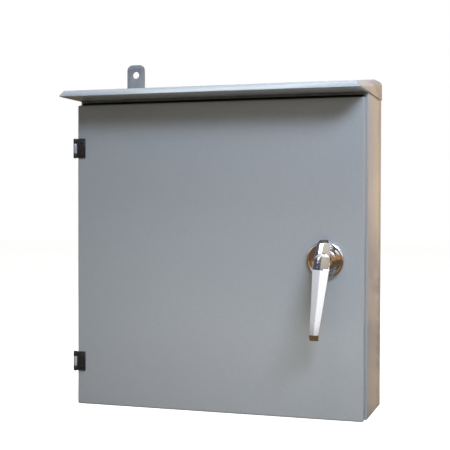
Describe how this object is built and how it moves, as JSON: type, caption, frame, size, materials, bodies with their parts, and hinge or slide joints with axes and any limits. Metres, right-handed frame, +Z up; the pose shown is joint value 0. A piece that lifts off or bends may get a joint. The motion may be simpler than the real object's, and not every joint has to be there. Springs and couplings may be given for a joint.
{
  "type": "automatic transfer switch",
  "caption": "Wall-mounted steel enclosure with a rain hood and latching hinged door, holding two interlocked source breakers, a drive and a controller.",
  "frame": {"origin": "on the flat back face of the enclosure, in the middle of its width and at the middle of the door's height", "axes": "+X towards the handle side, +Y into the wall, so the door faces -Y, +Z up"},
  "size_m": [0.4938, 0.2128, 0.5845],
  "materials": {
    "painted_steel": "semi-gloss grey powder coat on steel sheet",
    "black_steel": "satin black",
    "rubber": "black foamed rubber",
    "chrome": "polished chrome on a casting",
    "zinc_steel": "zinc-plated steel",
    "moulded_black": "matt moulded thermoset",
    "light_plastic": "matt light grey plastic",
    "clear_plastic": "grey plastic",
    "brass": "drilled brass bar",
    "red_plastic": "glossy red plastic",
    "cable_jacket": "black cable jacket"
  },
  "bodies": {
    "enclosure": {"enclosure_shell": "painted_steel", "rain_hood": "painted_steel", "mounting_lug": "painted_steel", "gland_plate": "painted_steel", "hinge_frame_leaf_upper": "painted_steel", "hinge_frame_leaf_lower": "painted_steel", "header_seal": "rubber", "blanking_plug_1": "rubber", "blanking_plug_2": "rubber", "blanking_plug_3": "rubber", "hinge_pin_upper": "zinc_steel", "hinge_pin_lower": "zinc_steel", "back_panel": "zinc_steel", "panel_standoff_1": "zinc_steel", "panel_standoff_2": "zinc_steel", "panel_standoff_3": "zinc_steel", "panel_standoff_4": "zinc_steel", "transfer_base_plate": "zinc_steel", "drive_motor": "zinc_steel", "din_rail": "zinc_steel", "normal_breaker_case": "moulded_black", "standby_breaker_case": "moulded_black", "load_terminal_block": "moulded_black", "neutral_bar_insulator": "moulded_black", "controller_face": "moulded_black", "control_relay": "moulded_black", "drive_gearbox": "light_plastic", "controller_case": "light_plastic", "control_fuse_holder": "light_plastic", "wiring_duct": "clear_plastic", "neutral_bar": "brass", "ground_bar": "brass", "jumper_normal_upper": "cable_jacket", "jumper_normal_lower": "cable_jacket", "jumper_standby_upper": "cable_jacket", "jumper_standby_lower": "cable_jacket", "control_harness": "cable_jacket"},
    "door": {"door_panel": "painted_steel", "door_gasket": "rubber", "hinge_door_leaf_upper": "black_steel", "hinge_door_leaf_lower": "black_steel", "handle_rosette": "chrome", "spindle_nut": "zinc_steel", "rod_guide_upper": "zinc_steel", "rod_guide_lower": "zinc_steel", "document_pocket": "clear_plastic"},
    "handle": {"handle_lever": "chrome", "handle_spindle": "zinc_steel", "latch_cam": "zinc_steel"},
    "upper_rod": {"latch_rod_upper": "zinc_steel"},
    "lower_rod": {"latch_rod_lower": "zinc_steel"},
    "manual_drive": {"manual_lever": "red_plastic"},
    "interlock": {"interlock_slide": "zinc_steel"},
    "normal_toggle": {"normal_breaker_toggle": "light_plastic"},
    "standby_toggle": {"standby_breaker_toggle": "light_plastic"},
    "button": {"test_button": "red_plastic"},
    "selector": {"selector_knob": "moulded_black"}
  },
  "joints": [
    {"name": "door_hinge", "type": "hinge", "parent": "enclosure", "child": "door", "pos_m": [-0.2448, -0.1485, 0], "axis": [0, 0, -1], "range_deg": [0, 115]},
    {"name": "handle_turn", "type": "hinge", "parent": "door", "child": "handle", "pos_m": [0.1815, -0.147, -0.002], "axis": [0, 1, 0], "range_deg": [0, 90]},
    {"name": "upper_rod_slide", "type": "slide", "parent": "door", "child": "upper_rod", "axis": [0, 0, 1], "range_m": [0, 0.0121]},
    {"name": "lower_rod_slide", "type": "slide", "parent": "door", "child": "lower_rod", "axis": [0, 0, -1], "range_m": [0, 0.0121]},
    {"name": "manual_lever_turn", "type": "hinge", "parent": "enclosure", "child": "manual_drive", "pos_m": [0, -0.0975, 0.025], "axis": [0, 1, 0], "range_deg": [-15, 15]},
    {"name": "interlock_travel", "type": "slide", "parent": "enclosure", "child": "interlock", "axis": [1, 0, 0], "range_m": [-0.0081, 0.0081]},
    {"name": "normal_toggle_swing", "type": "hinge", "parent": "enclosure", "child": "normal_toggle", "pos_m": [-0.1175, -0.066, 0.055], "axis": [0, 0, 1], "range_deg": [-17, 17]},
    {"name": "standby_toggle_swing", "type": "hinge", "parent": "enclosure", "child": "standby_toggle", "pos_m": [0.1175, -0.066, 0.055], "axis": [0, 0, 1], "range_deg": [-17, 17]},
    {"name": "button_press", "type": "slide", "parent": "enclosure", "child": "button", "axis": [0, 1, 0], "range_m": [0, 0.0025], "stiffness_N_per_m": 400},
    {"name": "selector_turn", "type": "hinge", "parent": "enclosure", "child": "selector", "pos_m": [-0.056, -0.063, 0.18], "axis": [0, 1, 0], "range_deg": [-45, 45]}
  ],
  "couplings": [
    {"joint": "upper_rod_slide", "follows": "handle_turn", "m_per_rad": 0.00764},
    {"joint": "lower_rod_slide", "follows": "handle_turn", "m_per_rad": 0.00764},
    {"joint": "interlock_travel", "follows": "manual_lever_turn", "m_per_rad": 0.03},
    {"joint": "normal_toggle_swing", "follows": "manual_lever_turn", "ratio": 1.0345},
    {"joint": "standby_toggle_swing", "follows": "manual_lever_turn", "ratio": 1.0345}
  ]
}
